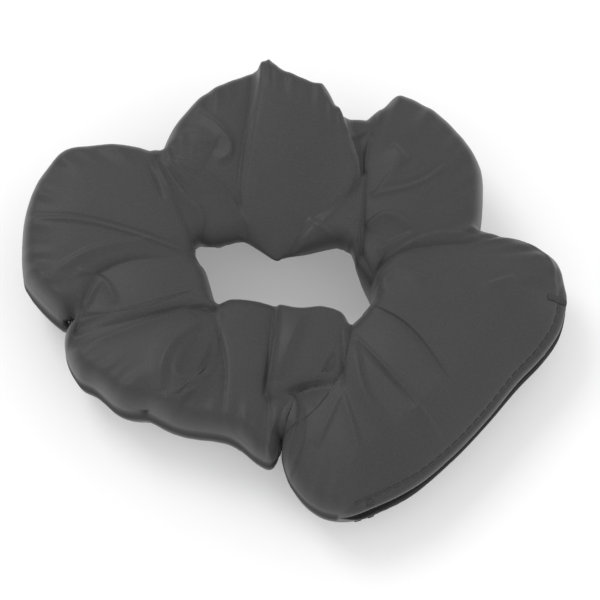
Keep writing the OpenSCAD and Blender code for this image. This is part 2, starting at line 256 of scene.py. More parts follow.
# ------------------------------------------------------------ the sleeve
# Columns of the tube, counterclockwise seen from above, from the pinch between the front puff and the pocket.
# inner rim x, w ; optional middle x, w ; outer edge x, w, height ; corner
COLUMNS = [
    ((14.5, -9.5), (10.5, -24), (-2.5, -40, 11), 1),
    ((14.8, -9.2), None, (-2.5, -44, 11), 0),
    ((15, -9), None, (-0.5, -49.5, 11), 0),
    ((15.2, -8.8), None, (4.5, -55, 11), 0),
    ((15.5, -8.5), None, (11, -57, 12), 0),
    ((15.8, -8.2), None, (18.5, -54.5, 13), 0),
    ((16.2, -7.8), None, (29, -49.5, 13), 0),
    ((16.8, -7.2), None, (39, -41.5, 13), 0),
    ((17.2, -6.5), None, (47.5, -33, 13), 0),
    ((17.8, -5.8), None, (55, -24.5, 13), 0),
    ((18.5, -5), None, (61.5, -18, 13), 0),
    ((19.2, -4), None, (66, -11.5, 14), 0),
    ((19.5, -3.2), None, (68, -4.5, 15), 0),
    ((19.5, -2.5), None, (68, 2.5, 15), 0),
    ((19.2, -1.5), None, (65, 8.5, 18.5), 0),
    ((18.5, 0), None, (58.5, 12, 18.5), 0),
    ((17, 2), (30, 9), (47.5, 13.5, 17.5), 1),
    ((16, 4), (31, 13.5), (48.5, 21.5, 17), 0),
    ((15.5, 6), None, (48, 30, 17.5), 0),
    ((15, 7.5), None, (43, 38.5, 18), 0),
    ((14.5, 8.5), None, (36, 45, 16.5), 0),
    ((13.5, 9), None, (27.5, 49, 16.5), 0),
    ((12.8, 9.5), None, (23, 45.5, 16.5), 0),
    ((12, 9.8), (17, 26), (18.5, 41, 15), 1),
    ((11.2, 10), None, (12, 41.5, 15), 1),
    ((7.5, 9.2), None, (9, 47.5, 18), 0),
    ((3.2, 8.2), None, (5.5, 48.5, 18), 0),
    ((-1.8, 7.5), None, (-1.5, 51.5, 18), 0),
    ((-4.2, 6.8), None, (-5, 54, 18), 0),
    ((-8.6, 9.5), None, (-7, 54, 18), 0),
    ((-12.4, 11.5), None, (-11.5, 53, 18), 0),
    ((-16, 10.8), None, (-19, 49.5, 18), 0),
    ((-20.2, 10.2), None, (-25, 45.5, 18), 0),
    ((-22.8, 11), None, (-31, 38, 18), 0),
    ((-23.8, 10.5), (-29, 22), (-33.5, 32.5, 18), 1),
    ((-24.2, 9.8), None, (-39, 34, 18), 0),
    ((-24.2, 9), None, (-47, 34.5, 18), 0),
    ((-24.2, 8.2), None, (-57, 33.5, 18), 0),
    ((-24, 7.5), None, (-61.5, 29.5, 17), 0),
    ((-23.5, 6.5), None, (-65.5, 23, 16), 0),
    ((-23, 5.5), None, (-68, 14, 15), 0),
    ((-22.2, 4.5), None, (-68, 3, 15), 0),
    ((-21.5, 3.2), None, (-66, -2.5, 14), 0),
    ((-20.8, 1.5), None, (-58.5, -10, 13), 0),
    ((-20, -0.8), (-36, -6), (-54, -10.5, 13), 1),
    ((-19.5, -2.5), None, (-56.5, -14.5, 13), 0),
    ((-19.2, -3.2), None, (-56, -20, 12), 0),
    ((-19, -3.6), None, (-53, -25, 12), 0),
    ((-18.8, -3.9), None, (-48.5, -27.5, 12), 0),
    ((-18.4, -4), None, (-42.5, -32.5, 11), 0),
    ((-18, -3.8), (-20, -19), (-35.5, -32.5, 14), 1),
    ((-15, -2.8), None, (-27, -36, 14), 0),
    ((-9.5, -3.2), None, (-15.5, -38, 14), 0),
    ((-4, -4.5), None, (-9, -42.5, 14), 0),
    ((1.8, -5.8), None, (-5.5, -44, 14), 0),
    ((7.5, -5.4), None, (-3.5, -42, 14), 0),
    ((12.6, -6.8), None, (-3, -40.5, 10), 0),
]


SHOULDER_Z = 18.5                # height of the front edge that the view sees
BACK_LIFT, TIP_LIFT = 8.0, 2.5   # how far the rim rises at the back, and again at the kite's tip
TIP_X, TIP_WIDE = -5, 9.0        # where the tip is and how wide


def at_back(w):
    """0 at the front of the opening, 1 at the back."""
    return smoothstep((w + 1) / 8)


def rim_z(x, w):
    """Height of the rim of the opening: the kite fold hangs in at the back with its tip held high."""
    return MID + at_back(w) * (BACK_LIFT + TIP_LIFT * math.exp(-(((x - TIP_X) / TIP_WIDE) ** 2)))


def inner_plan(x, w):
    """At the front the seen edge is the shoulder above the rim, and at the back it is the rim itself."""
    return plan(x, w, SHOULDER_Z + (rim_z(x, w) - 0.6 - SHOULDER_Z) * at_back(w))


def resample(keys, corner, counts):
    """Closed Catmull-Rom through the keys with one-sided tangents at corners."""
    n = len(keys)
    out = []
    for i in range(n):
        a, b, c, d = keys[i - 1], keys[i], keys[(i + 1) % n], keys[(i + 2) % n]
        m0 = (c - b) if corner[i] else 0.5 * (c - a)
        m1 = (c - b) if corner[(i + 1) % n] else 0.5 * (d - b)
        # no overshoot between close neighbours
        lim = np.linalg.norm(c - b)
        m0 = m0 * min(1, 1.6 * lim / max(np.linalg.norm(m0), 1e-9))
        m1 = m1 * min(1, 1.6 * lim / max(np.linalg.norm(m1), 1e-9))
        t = (np.arange(counts[i]) / counts[i])[:, None]
        h = 2 * t**3 - 3 * t**2 + 1, t**3 - 2 * t**2 + t, -2 * t**3 + 3 * t**2, t**3 - t**2
        out.append(h[0] * b + h[1] * m0 + h[2] * c + h[3] * m1)
    return np.concatenate(out)


inner = np.array([[*inner_plan(*c[0]), rim_z(*c[0])] for c in COLUMNS])
outer = np.array([plan(*c[2]) for c in COLUMNS])
middle = np.array([
    (inner[i, :2] + outer[i]) / 2 if c[1] is None else plan(c[1][0], c[1][1], 24)
    for i, c in enumerate(COLUMNS)
])
corner = [c[3] for c in COLUMNS]
gap = np.linalg.norm(np.roll(outer, -1, 0) - outer, axis=1)
gap = np.maximum(gap, 1.6 * np.linalg.norm((np.roll(inner, -1, 0) - inner)[:, :2], axis=1))
STEP = 0.46      # between columns at the outer edge, mm
counts = np.maximum(2, np.round(gap / STEP)).astype(int)
IN = resample(inner, corner, counts)
IN, RIM = IN[:, :2], IN[:, 2]
OUT = resample(outer, corner, counts)
MIDC = resample(middle, corner, counts)
NS = len(IN)
NT, NB = 104, 44     # rows on the top and underneath


def column_points(u):
    """Plan points at share u of each column, inner rim to outer edge."""
    t = u[:, None, None]
    return (1 - t) * (1 - 2 * t) * IN + 4 * t * (1 - t) * MIDC + t * (2 * t - 1) * OUT


def spread(n):
    """Shares from 0 to 1, closer together at both ends."""
    u = np.linspace(0, 1, n)
    return 0.55 * u + 0.45 * 0.5 * (1 - np.cos(math.pi * u))


# Faces of the puffs as domes: height, tilt, centre, how fast they fall from it, the height whose place they
# take in the order of laying, if not their own, and the outline in the view plane
DOMES = {
    "pocket": dict(z=29, c=(38, -18), crown=0.0035, pts=[
        (13.5, -9.8), (19.6, -2), (19.6, 2), (21.8, 6.2), (26, 9.8), (33.5, 13.4), (46.6, 14.6), (50, 19),
        (61, 21), (72, 14), (75, -7), (64, -24), (48, -40), (27, -56), (11, -63), (-1, -60), (-8, -50),
        (-2.6, -40), (0, -35), (0.6, -29.4), (-1.2, -24), (9, -18)]),
    "back_right": dict(z=28, c=(32, 28), crown=0.006, pts=[
        (12.2, 7.8), (14, 14.5), (16.8, 23.2), (17.2, 29), (17.4, 35.8), (19.6, 41.2), (25, 52), (28, 58),
        (36, 56), (46, 47), (52, 34), (53, 23.2), (52, 11), (33.5, 10.8), (24.8, 7.8), (19.8, 4.5), (13, 3)]),
    "back_fold": dict(z=26, c=(16, 36), crown=0.0, pts=[
        (8, 52), (12.2, 52), (22, 52), (24, 40), (20, 25.8), (14, 25)]),
    "kite": dict(z=33.5, tilt=(0, 0.17), c=(-1, 34), crown=0.0035, pts=[
        (-8.2, 67), (-5, 67), (1, 64), (9.4, 58), (11, 48.8), (13.5, 42), (18, 29.2), (10.5, 19.8), (1, 11.2),
        (-4, 6.5), (-10, 11.2), (-12.2, 17), (-14, 22.5), (-11.5, 38.2), (-8.5, 52)]),
    "back_left": dict(z=32, tilt=(0, 0.08), c=(-19, 34), crown=0.0065, pts=[
        (-6.5, 67), (-13, 64), (-29, 55), (-38, 43), (-35.4, 34.6), (-30.2, 23.2), (-25.2, 8), (-20.2, 6),
        (-14.5, 9.2), (-9, 12.8), (-11, 19.5), (-13, 22.5), (-10.4, 38.2), (-7.4, 52)]),
    "left": dict(z=30.5, tilt=(0, 0.05), c=(-47, 18), crown=0.0045, pts=[
        (-31.4, 36), (-34, 43), (-42.8, 44), (-60, 43), (-67, 37), (-73, 26), (-75, 14.5), (-75, -3),
        (-62.2, -4), (-50.2, 3), (-41.5, 7), (-32.8, 7), (-21.5, 4), (-24.2, 12.5), (-29, 23.2)]),
    "left_low": dict(over=32, z=28.5, c=(-58, 1), crown=0.006, pts=[
        (-75, 4), (-73, -5), (-62, -15), (-54, -14), (-51.5, -1.8), (-47, 4.5), (-46, 11.5), (-59, 6.6)]),
    "inner_left": dict(over=33, z=28.6, c=(-35, 2), crown=0.006, pts=[
        (-56, -11), (-54.4, -7.4), (-51.5, -0.4), (-47.8, 6.2), (-41.5, 13.4), (-32.8, 12.4), (-23.6, 9.6),
        (-17, -5.4), (-24, -4.0), (-39, -7.8), (-54, -13.4)]),
    "front_left": dict(z=28, c=(-37, -18), crown=0.006, pts=[
        (-62, -13.4), (-61, -28), (-52, -33), (-45, -38.5), (-34.6, -36.4), (-26.5, -27), (-18, -21),
        (-16.6, -14.2), (-17.5, 1.5), (-24, 0.2), (-39, -4.4), (-53, -10)]),
    "front_mid": dict(z=25.5, c=(-17, -20), crown=0.003, pts=[
        (-38, -36.5), (-28.5, -42.2), (-15.2, -44), (-8.5, -49.2), (-4, -50.2), (-2.4, -39.2), (-3.4, -31.8),
        (-6.4, -26.8), (-4, -16.8), (-2, -2), (-15.2, 0), (-21, -2), (-19.5, -11.8), (-19, -20),
        (-26.5, -26)]),
    "front_band": dict(z=28.5, c=(4, -12), crown=0.008, pts=[
        (-3.9, -4.8), (-3.6, -2), (2.2, -2.8), (3.8, -1), (14, -4.2), (14.6, -9.8), (12.4, -23.2), (6, -22.8),
        (1, -23.8), (-6.4, -27.6), (-5.6, -19.2)]),
    "back_inner": dict(over=33.2, z=30, c=(8, 16), crown=0.006, pts=[
        (19, 32), (5, 19), (-1, 7), (12, 7), (16, 5), (18, 22)]),
    "front_flap": dict(z=25, c=(-3, -32), crown=0.01, pts=[
        (-6.5, -27.4), (-1, -21.4), (5, -26), (4, -36.6), (-1, -47), (-7, -45), (-7.2, -34)]),
    "knot": dict(z=26, c=(22, 11), crown=0.02, pts=[
        (13, 7.8), (15, 14.5), (19, 18.8), (24.8, 20.2), (29, 18.2), (32.2, 13.8), (26, 9.8), (21.8, 6.2),
        (20, 0.8), (18, -3), (14, 1.8)]),
}
EDGE_OUT, EDGE_R = 0.5, 2.8     # a face's rolled edge starts this far outside its outline, and is this wide
EDGE_POWER, EDGE_DEPTH = 2.2, 1.5           # how round the rolled edge is, and how far it goes down
MOST_FALL = 8                   # a face falls no further than this below its crown
MIX_REACH, MIX_DEPTH = 1.5, 1.2             # the cloth between faces mixes their heights, a little lower
DIP, DIP_WIDTH = 0.05, 0.8      # the crease along a face's outline

# Creases and fold edges: points in the view plane, height seen at, kind, amount, width, and a step's reach
LINES = [
    # left puff: the long fold over it, two short tucks and the edge of the fold below
    dict(pts=[(-65, 18), (-50, 17), (-25, 9.5)], z=30, kind="fold", a=0.6, w=0.5),
    dict(pts=[(-36, 31), (-32, 22)], z=29, kind="valley", a=0.6, w=0.4),
    dict(pts=[(-62, 2), (-50, 10), (-34, 12)], z=28, kind="ridge", a=0.5, w=0.55),
    # fan of tucks from the pinch between the left puffs
    dict(pts=[(-34, 32), (-27, 23), (-21, 17.5), (-25, 10)], z=28, kind="ridge", a=0.9, w=0.55),
    dict(pts=[(-32, 31.5), (-22, 23)], z=28, kind="ridge", a=0.6, w=0.5),
    dict(pts=[(-31, 29), (-24, 20)], z=28, kind="valley", a=0.5, w=0.5),
    dict(pts=[(-32, 33), (-18, 27), (-11, 16)], z=30, kind="ridge", a=0.8, w=0.5),
    # back left puff: the curled fold and the bulge it wraps
    dict(pts=[(-24, 46), (-16, 39), (-15, 34), (-19, 32.5)], z=33, kind="ridge", a=1.2, w=0.8),
    dict(pts=[(-31, 36), (-25, 39), (-19, 36)], z=31, kind="ridge", a=1.0, w=2.0),
    # kite: left edge, right rim and the two tucks under its tip
    dict(pts=[(-9, 53), (-13.5, 25)], z=34, kind="fold", a=0.5, w=0.5),
    dict(pts=[(12, 39), (18, 29), (6, 16)], z=33, kind="ridge", a=0.6, w=0.5),
    dict(pts=[(4, 17), (11, 12)], z=28, kind="ridge", a=0.7, w=0.5),
    # back fold
    dict(pts=[(19, 40), (13.5, 37)], z=26, kind="ridge", a=0.7, w=0.5),
    dict(pts=[(20, 43), (18, 30)], z=27, kind="ridge", a=0.7, w=0.5),
    # back right puff
    dict(pts=[(19, 24), (32, 26), (39, 31.5)], z=28, kind="fold", a=0.55, w=0.6),
    dict(pts=[(20, 23), (26, 31)], z=28, kind="ridge", a=0.4, w=0.7),
    dict(pts=[(25, 37.5), (29, 32.5)], z=29, kind="ridge", a=0.8, w=0.9),
    # arcs round the knot
    dict(pts=[(18, 16), (24, 20), (31, 14.5)], z=27, kind="ridge", a=0.9, w=0.55),
    dict(pts=[(21, 10), (31, 14)], z=27, kind="ridge", a=0.9, w=0.7),
    dict(pts=[(15.5, 8), (20, 1)], z=25, kind="ridge", a=0.9, w=0.6),
    dict(pts=[(16, 11), (20.5, 3)], z=25, kind="valley", a=0.8, w=0.5),
    # wing: folds fanning out of its pinch, then the small ones near its top
    dict(pts=[(15, -13), (17, -26), (24, -34)], z=27, kind="ridge", a=1.5, w=0.9),
    dict(pts=[(16, -13), (30, -29)], z=27, kind="valley", a=1.1, w=0.7),
    dict(pts=[(15, -11), (28, -25), (38, -37)], z=28, kind="ridge", a=0.8, w=0.6),
    dict(pts=[(20, -3.5), (29, -9), (38, -22)], z=28, kind="step", a=1.3, w=0.6, reach=6),
    dict(pts=[(20, -1), (25, 6), (33, 2.5)], z=27, kind="ridge", a=0.7, w=0.55),
    dict(pts=[(47, 1), (55, 4)], z=28, kind="ridge", a=0.5, w=0.6),
    dict(pts=[(23, 8), (36, 15), (50, 12.5)], z=27, kind="ridge", a=0.5, w=0.55),
    dict(pts=[(12, -24), (17, -40), (14, -48)], z=27, kind="ridge", a=0.8, w=0.55),
    dict(pts=[(12, -25), (6, -37)], z=27, kind="ridge", a=0.6, w=0.55),
    dict(pts=[(56, 12.5), (65, 8), (65.5, -2.5)], z=20, kind="fold", a=0.45, w=0.5),
    # S of the flap, and the lower edge of the front band
    dict(pts=[(-6, -27), (1, -25), (1, -32), (-2.5, -43)], z=26, kind="ridge", a=1.0, w=0.55),
    dict(pts=[(-6, -27), (2, -23.5), (12, -23)], z=28, kind="ridge", a=0.6, w=0.5),
    # front pleats
    dict(pts=[(-19.5, -5), (-16, -19), (-17.5, -32)], z=26, kind="valley", a=0.9, w=0.45),
    dict(pts=[(-3, -4.5), (-7, -25.5)], z=27, kind="valley", a=1.2, w=0.5),
    dict(pts=[(2.5, -5), (-4, -21)], z=29, kind="ridge", a=0.9, w=1.6),
    dict(pts=[(12, -8.5), (12.5, -23.5)], z=28, kind="valley", a=0.8, w=0.4),
    # front left fingers
    dict(pts=[(-22.5, -7.5), (-31, -15), (-32, -25)], z=27, kind="ridge", a=1.5, w=0.9),
    dict(pts=[(-23, -9), (-29, -19), (-26, -23), (-18, -19.5)], z=27, kind="ridge", a=1.1, w=0.8),
    dict(pts=[(-36, -28), (-27, -27), (-17.5, -21)], z=26, kind="ridge", a=0.7, w=0.55),
    dict(pts=[(-56, -15), (-36, -8), (-22, -3)], z=28, kind="ridge", a=0.6, w=0.5),
    # small left folds
    dict(pts=[(-53, 5), (-46, 3), (-43, -3)], z=29, kind="ridge", a=0.7, w=0.5),
    dict(pts=[(-47.5, 2.5), (-54.5, -10)], z=29, kind="ridge", a=0.7, w=0.5),
]


def chaikin(Q, times, closed):
    """The outline or line with its corners cut so many times."""
    for _ in range(times):
        A = Q if closed else Q[:-1]
        B = np.roll(Q, -1, 0) if closed else Q[1:]
        R = np.stack([A * 0.75 + B * 0.25, A * 0.25 + B * 0.75], 1).reshape(-1, 2)
        Q = R if closed else np.concatenate([Q[:1], R, Q[-1:]])
    return Q


def dome_height(P):
    """The puffs' faces laid over one another from the lowest to the highest, each with a rolled edge."""
    fields = []
    for g in sorted(DOMES.values(), key=lambda g: g.get("over", g["z"])):
        c = plan(*g["c"], g["z"])
        Q = chaikin(np.array([plan(x, w, g["z"] - 2) for x, w in g["pts"]]), 2, True)
        d, _, _ = polyline_distance(P, Q, closed=True)
        d = np.where(inside_polygon(P, Q), d, -d)
        top = g["z"] - g["crown"] * ((P - c) ** 2).sum(1)
        top = np.maximum(top, g["z"] - MOST_FALL) + (P - c) @ np.array(g.get("tilt", (0, 0)))
        fields.append((d, top))
    w = np.array([np.exp(-np.maximum(0, -d) / MIX_REACH) for d, _ in fields]) + 1e-9
    z = (w * np.array([top - MIX_DEPTH for _, top in fields])).sum(0) / w.sum(0)
    for d, top in fields:
        q = 1 - (1 - np.clip((d + EDGE_OUT) / EDGE_R, 0, 1)) ** EDGE_POWER
        h = top - EDGE_DEPTH * (1 - q)
        z = z - DIP * np.exp(-np.abs(d + EDGE_OUT) / DIP_WIDTH) * smoothstep((h + 2.5 - z) / 2)
        z = z + np.maximum(h - z, 0) * smoothstep((d + 0.7) / 1.4)
    return z


LINE_REACH = 30      # further off than this a line does nothing, mm


def line_offset(P):
    """How far the creases and fold edges lift or sink the top."""
    out = np.zeros(len(P))
    for g in LINES:
        Q = chaikin(np.array([plan(x, w, g["z"]) for x, w in g["pts"]]), 3, False)
        near = ((P > Q.min(0) - LINE_REACH) & (P < Q.max(0) + LINE_REACH)).all(1)
        d, u, side = polyline_distance(P[near], Q)
        fade = np.clip(np.sin(math.pi * np.clip(u, 0, 1)), 0, 1) ** 0.5
        if g["kind"] == "ridge":
            s = d * side / g["w"]
            v = g["a"] * np.where(s > 0, np.exp(-(s ** 2)), np.exp(-((np.abs(s) / 3.4) ** 1.4)))
        elif g["kind"] == "valley":
            v = -g["a"] * np.exp(-d / g["w"])
        elif g["kind"] == "fold":
            s = d * side / g["w"]
            v = g["a"] * (np.exp(-(s ** 2)) - 0.4 * np.exp(-((s - 2.0) ** 2)))
        else:
            s = d * side
            v = g["a"] * (smoothstep(s / g["w"] + 0.5)) * np.exp(-np.maximum(s, 0) / g["reach"])
        out[near] += v * fade
    return out


def outline_distance(P):
    """Distance from each of P to the nearest point of the two edges."""
    edge = np.concatenate([IN, OUT])
    best = np.full(len(P), 1e9)
    for k in range(0, len(P), 4000):
        p = P[k:k + 4000]
        d2 = ((p[:, None, :] - edge[None, :, :]) ** 2).sum(-1)
        best[k:k + 4000] = np.sqrt(d2.min(1))
    return best


def field_noise(P, scale, seed, n=24):
    """Smooth seeded noise: a sum of plane waves."""
    r = np.random.default_rng(seed)
    ang = r.uniform(0, 2 * math.pi, n)
    k = r.uniform(0.5, 1.5, n) * 2 * math.pi / scale
    ph = r.uniform(0, 2 * math.pi, n)
    arg = (P[:, :1] * np.cos(ang) + P[:, 1:2] * np.sin(ang)) * k + ph
    return np.sin(arg).sum(1) / math.sqrt(n / 2)


# how far each column is part of the pocket's mouth
FIRST, LAST = 4, 13              # the keys between which the mouth lies
FADE = 14.0                      # columns over which it opens at each end
key_pos = np.concatenate([[0], np.cumsum(counts)])
col = np.arange(NS)
opens = smoothstep((col - key_pos[FIRST]) / FADE)
mouth = opens * smoothstep((key_pos[LAST] - col) / FADE)

ZIP_C = np.array([43.3, -31.4])  # middle of the chain in plan, as in CAD, mm
slide = next(j for j in frame["joints"] if j["name"] == "zip_slide")["axis"]
ZIP_A = math.radians(round(math.degrees(math.atan2(-slide[1], -slide[0])), 1))
ZIP_X = np.array([math.cos(ZIP_A), math.sin(ZIP_A)])
ZIP_Y = np.array([-math.sin(ZIP_A), math.cos(ZIP_A)])    # into the pocket
WALL_Y = 2.6                     # back of the slot, behind the slider
SLOT_HALF = 2.9                  # half the height of the slot round the zip
EDGE_Y = (OUT - ZIP_C) @ ZIP_Y   # each column's edge along ZIP_Y, negative outside the chain
# half the gap between the lips at their edge: nearly closed, and wider where the edge comes near the chain
GAP = 0.9 + 1.2 * smoothstep((EDGE_Y + 4.6) / 2.0)
LIP = GAP + 0.9                  # how far each lip's outer face starts from the mid plane at its edge
OUT_PUSH, LOW_PUSH = 0.8, 1.1    # how far the upper and the lower lip hang out
NEEDLE_IN, NEEDLE_DEPTH, NEEDLE_WIDE = 3.0, 0.45, 0.8    # the needle line's channel
LOWEST = 0.15                    # the cloth stays this far above the table


def build_sleeve():
    """Points of the top and of the underside of the sleeve, row by row over its columns."""
    ut, ub = spread(NT), spread(NB)
    top = column_points(ut)
    bot = column_points(ub)
    Pt = top.reshape(-1, 2)
    Pb = bot.reshape(-1, 2)
    dt = outline_distance(Pt)
    db = outline_distance(Pb)

    def across(u, side):
        """Height between the opening's rim and the outer edge, and how far it is part of the mouth."""
        s = smoothstep(u)[:, None]
        base = RIM * (1 - s) + (MID + side * LIP * mouth) * s
        return base.ravel(), (mouth * u[:, None] ** 2).ravel()

    base_t, m_t = across(ut, 1)
    base_b, m_b = across(ub, -1)
    # the top rises from both edges: steeply at a puff's wall, and gently over the pocket's wing
    t = np.clip(dt / (4.2 + 17.6 * m_t), 0, 1)
    q = (1 - (1 - t) ** 2.4) ** (1 / 2.2)
    q = q * (1 - 0.5 * m_t) + (1 - (1 - t) ** 2) * 0.5 * m_t
    H = dome_height(Pt) + line_offset(Pt) + 0.2 * field_noise(Pt, 34, 3)
    zt = base_t + (H - base_t) * q
    t = np.clip(db / (10.0 + 8.0 * m_b), 0, 1)
    q = np.sqrt(1 - (1 - t) ** 2)
    # at the back of the opening the underside runs away below the rim
    under = ((1 - smoothstep(ub * 2.5))[:, None] * smoothstep((RIM - MID) / 6)[None]).ravel()
    q = q * (1 - under) + np.clip(db / 12.0, 0, 1) * under
    floor = np.clip(0.25 + 0.55 * (1 + field_noise(Pb, 22, 9)), LOWEST, 4)
    zb = base_b + (floor - base_b) * q
    # gathers under the edge, where the cloth turns down between the pinches
    k = np.stack([col * STEP, 0.0 * col], -1)
    wave = field_noise(k, 9, 21) * 0.6 + field_noise(k, 5, 22) * 0.35
    fade = np.sin(math.pi * np.clip(ub, 0, 1)) ** 0.5 * np.clip(ub * 4, 0, 1)
    fade = (fade * (ub > 0.5) + 0.6 * fade * (ub <= 0.5))[:, None] * (1 - mouth)[None]
    # shallow upright folds run up the outer walls from the same gathers
    wall = (np.clip(1 - dt / 10.0, 0, 1) * np.clip(dt / 4.0, 0, 1)).reshape(NT, NS)
    wall = wall * smoothstep(ut * 2 - 1)[:, None] * (1 - mouth)[None]
    zt = zt + (wave[None] * wall * 0.9).ravel()
    zb = zb + (wave[None] * fade).ravel() * 1.1 * np.clip((zb - 1.0) / 4, 0, 1)
    zb = np.maximum(zb, LOWEST)
    top = np.concatenate([top, zt.reshape(NT, NS, 1)], -1)
    return top, np.concatenate([bot, zb.reshape(NB, NS, 1)], -1)


top3, bot3 = build_sleeve()


def from_edge(surface, arc):
    """The point of each column at that arc length in from its outer edge."""
    s = surface[::-1]
    run = np.concatenate([np.zeros((1, NS)), np.cumsum(np.linalg.norm(np.diff(s, axis=0), axis=2), 0)])
    return run, np.array([[np.interp(arc, run[:, c], s[:, c, k]) for k in range(3)] for c in range(NS)])


# the needle line presses a shallow channel, a little in from each lip
for surface, sign in ((top3, -1), (bot3, 1)):
    run, _ = from_edge(surface, NEEDLE_IN)
    channel = np.exp(-(((run - NEEDLE_IN) / NEEDLE_WIDE) ** 2))
    surface[::-1, :, 2] += sign * NEEDLE_DEPTH * mouth * channel


def lips():
    """Rows from the upper lip in to the zip and out to the lower lip."""
    deep = np.maximum(WALL_Y - EDGE_Y, 0.6) * mouth
    # share of the way in, and how far the lip has opened into the slot there
    half = ((0.0, 0), (0.12, 0.4), (0.27, 1), (0.6, 1), (1.0, 1))
    steps = [(part, wide, 1) for part, wide in half] + [(1.0, 0, 0)]
    steps += [(part, wide, -1) for part, wide in half[::-1]]
    rows = []
    for part, wide, side in steps:
        z = side * (GAP + (SLOT_HALF - GAP) * wide)
        p = OUT + ZIP_Y * (deep * part)[:, None]
        rows.append(np.concatenate([p, (MID + z * mouth)[:, None]], 1))
    return rows


lip_rows = lips()
# the upper lip closes over the zip, and the lower one shows a little below it
upper = -ZIP_Y * (OUT_PUSH * mouth)[:, None]
lower = -ZIP_Y * (LOW_PUSH * opens * smoothstep((key_pos[LAST] - 4 - col) / 5.0))[:, None]
top3[..., :2] += np.linspace(0, 1, NT)[:, None, None] ** 8 * upper[None]
bot3[..., :2] += np.linspace(0, 1, NB)[:, None, None] ** 6 * lower[None]
for k, share in ((0, 1), (1, 0.6), (2, 0.2)):
    lip_rows[k][:, :2] += upper * share
    lip_rows[-1 - k][:, :2] += lower * share
ring = np.concatenate([top3[1:], lip_rows, bot3[::-1]])
ring[..., :2] += SHIFT
rows, cols = ring.shape[:2]


def simulate(ring, stride=6, frames=20, cap=0.9, held_below=2.0):
    """Blender's Cloth on every so many rows and columns of the tube, its moves spread back over all of them.

    No point moves further than cap, in mm."""
    ri = np.arange(0, rows, stride)
    ci = np.arange(0, cols - cols % stride, stride)
    coarse = ring[np.ix_(ri, ci)]
    n, m = coarse.shape[:2]
    me = bpy.data.meshes.new("cloth_work")
    me.from_pydata((coarse.reshape(-1, 3) * MM).tolist(), [], grid_faces(n, m, True, True)[:, ::-1].tolist())
    me.update()
    ob = bpy.data.objects.new("cloth_work", me)
    bpy.context.scene.collection.objects.link(ob)
    # held at the opening's rim, at the lips, and where the cloth lies near the table
    row = np.repeat(ri, m)
    edge = np.minimum(row, rows - row)
    lip = np.abs(row - (NT + 4))
    keep = np.clip(1.0 - edge / 6.0, 0, 1)
    keep = np.maximum(keep, np.clip(1.6 - lip / 12.0, 0, 1))
    low = coarse.reshape(-1, 3)[:, 2] < held_below
    keep = np.maximum(keep, np.where(low, 1.0, 0.0))
    group = ob.vertex_groups.new(name="hold")
    for i in np.nonzero(keep > 0)[0]:
        group.add([int(i)], float(keep[i]), "REPLACE")
    mod = ob.modifiers.new("cloth", "CLOTH")
    c = mod.settings
    c.quality = 5
    c.mass = 0.15
    c.tension_stiffness = 12
    c.compression_stiffness = 12
    c.shear_stiffness = 4
    c.bending_stiffness = 0.12
    c.shrink_min = -0.03
    c.shrink_max = -0.03
    c.vertex_group_mass = "hold"
    c.use_pressure = True
    c.uniform_pressure_force = 1.5
    c.effector_weights.gravity = 0
    mod.collision_settings.use_collision = False
    mod.point_cache.frame_start = 1
    mod.point_cache.frame_end = frames + 4
    scene = bpy.context.scene
    for f in range(1, frames + 1):
        scene.frame_set(f)
    dg = bpy.context.evaluated_depsgraph_get()
    ev = ob.evaluated_get(dg)
    got = np.empty(n * m * 3, dtype=np.float32)
    ev.data.vertices.foreach_get("co", got)
    move = got.reshape(n, m, 3) / MM - coarse
    scene.frame_set(1)
    bpy.data.objects.remove(ob, do_unlink=True)
    bpy.data.meshes.remove(me)
    size = np.linalg.norm(move, axis=2, keepdims=True)
    move = move * np.minimum(1, cap / np.maximum(size, 1e-9))
    # back to every row and column
    r = np.arange(rows)
    a = r // stride
    ta = ((r - a * stride) / stride)[:, None, None]
    a2 = (a + 1) % n
    a = a % n
    full = move[a] * (1 - ta) + move[a2] * ta
    c_ = np.arange(cols)
    b = np.minimum(c_ // stride, m - 1)
    tb = ((c_ - b * stride) / np.where(b == m - 1, cols - (m - 1) * stride, stride))[None, :, None]
    full = full[:, b] * (1 - tb) + full[:, (b + 1) % m] * tb
    out = ring + full
    out[..., 2] = np.maximum(out[..., 2], LOWEST)
    return out


ring = simulate(ring)


def shell(name, ring, mat, share, step=2, uv=(0.1, 0.5)):
    """A tube of cloth with an outer face, and an inner one at that share of the way out from its core."""
    n, m = ring.shape[:2]
    v = ring.reshape(-1, 3) * MM
    f = grid_faces(n, m, True, True)
    a, b, c = (v[f[:, k]] for k in (0, 1, 2))
    out = np.einsum("ij,ij->i", a, np.cross(b, c)).sum() > 0
    f = f if out else f[:, ::-1]
    core = np.concatenate([(IN + OUT) / 2 + SHIFT, np.full((NS, 1), MID)], 1)
    inside = core[None] + (ring - core[None]) * share
    inside[..., 2] = np.maximum(inside[..., 2], 0.4)
    inside = inside[: n - n % step: step, : m - m % step: step]
    n2, m2 = inside.shape[:2]
    f2 = (grid_faces(n2, m2, True, True) + len(v))[:, ::-1 if out else 1]
    verts = np.concatenate([v, inside.reshape(-1, 3) * MM])
    uu, vv = np.meshgrid(np.arange(n) / n * uv[0], np.arange(m) / m * uv[1], indexing="ij")
    u1 = np.stack([vv, uu], -1).reshape(-1, 2)
    uu, vv = np.meshgrid(np.arange(n2) / n2 * uv[0], np.arange(m2) / m2 * uv[1], indexing="ij")
    u2 = np.stack([vv, uu], -1).reshape(-1, 2)
    return mesh_object(name, verts, np.concatenate([f, f2]), mat, uvs=np.concatenate([u1, u2]))


sleeve = shell("sleeve", ring, CLOTH, 0.93)


